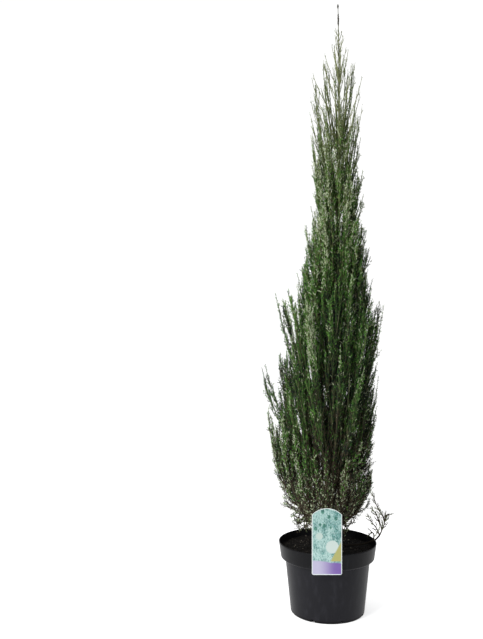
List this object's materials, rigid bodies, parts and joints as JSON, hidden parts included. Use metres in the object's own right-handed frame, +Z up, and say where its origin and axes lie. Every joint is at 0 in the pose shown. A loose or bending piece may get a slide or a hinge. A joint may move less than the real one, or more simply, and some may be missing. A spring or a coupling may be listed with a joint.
{
  "type": "columnar juniper in a nursery pot",
  "caption": "Slim upright evergreen shrub with a single trunk, tiers of steep feathery plumes and a bare leader, growing in a round plastic pot with a plant label.",
  "frame": {"origin": "centre of the pot's flat underside, on the surface that the pot stands on", "axes": "+Z up along the pot's axis, -Y towards the side that carries the plant label, +X to the right seen from there"},
  "size_m": [0.2985, 0.2683, 1.439],
  "materials": {
    "pot": "semi-matte black moulded plastic",
    "soil": "moist peat with bark chips",
    "label": "printed plastic card, satin, with a white border",
    "bark": "grey-brown bark that peels in fine strips",
    "twig": "dry red-brown twigs",
    "foliage": "fine scale leaves, dull, from blue-green to fresh yellow-green"
  },
  "bodies": {
    "root": {"pot": "pot", "soil": "soil", "label": "label", "trunk": "bark", "lower_bough_1": "bark", "lower_bough_2": "bark", "lower_bough_3": "bark", "lower_bough_4": "bark", "lower_bough_5": "bark", "skirt_bough_1": "bark", "skirt_bough_2": "bark", "skirt_bough_3": "bark", "skirt_bough_4": "bark", "skirt_bough_5": "bark", "stray_bough": "bark", "high_plume_1": "foliage", "high_plume_2": "foliage", "high_plume_3": "foliage", "leader_plume_1": "foliage", "leader_plume_2": "foliage", "leader_plume_3": "foliage", "lower_plume_1": "foliage", "lower_plume_2": "foliage", "lower_plume_3": "foliage", "lower_plume_4": "foliage", "lower_plume_5": "foliage", "middle_plume_1": "foliage", "middle_plume_2": "foliage", "middle_plume_3": "foliage", "middle_plume_4": "foliage", "middle_plume_5": "foliage", "neck_plume_1": "foliage", "neck_plume_2": "foliage", "neck_plume_3": "foliage", "neck_plume_4": "foliage", "shoulder_plume_1": "foliage", "shoulder_plume_2": "foliage", "shoulder_plume_3": "foliage", "shoulder_plume_4": "foliage", "shoulder_plume_5": "foliage", "skirt_plume_1": "foliage", "skirt_plume_2": "foliage", "skirt_plume_3": "foliage", "skirt_plume_4": "foliage", "skirt_plume_5": "foliage", "spire_plume_1": "foliage", "spire_plume_2": "foliage", "spire_plume_3": "foliage", "stray_spray": "twig", "upper_plume_1": "foliage", "upper_plume_2": "foliage", "upper_plume_3": "foliage", "upper_plume_4": "foliage"}
  },
  "joints": []
}
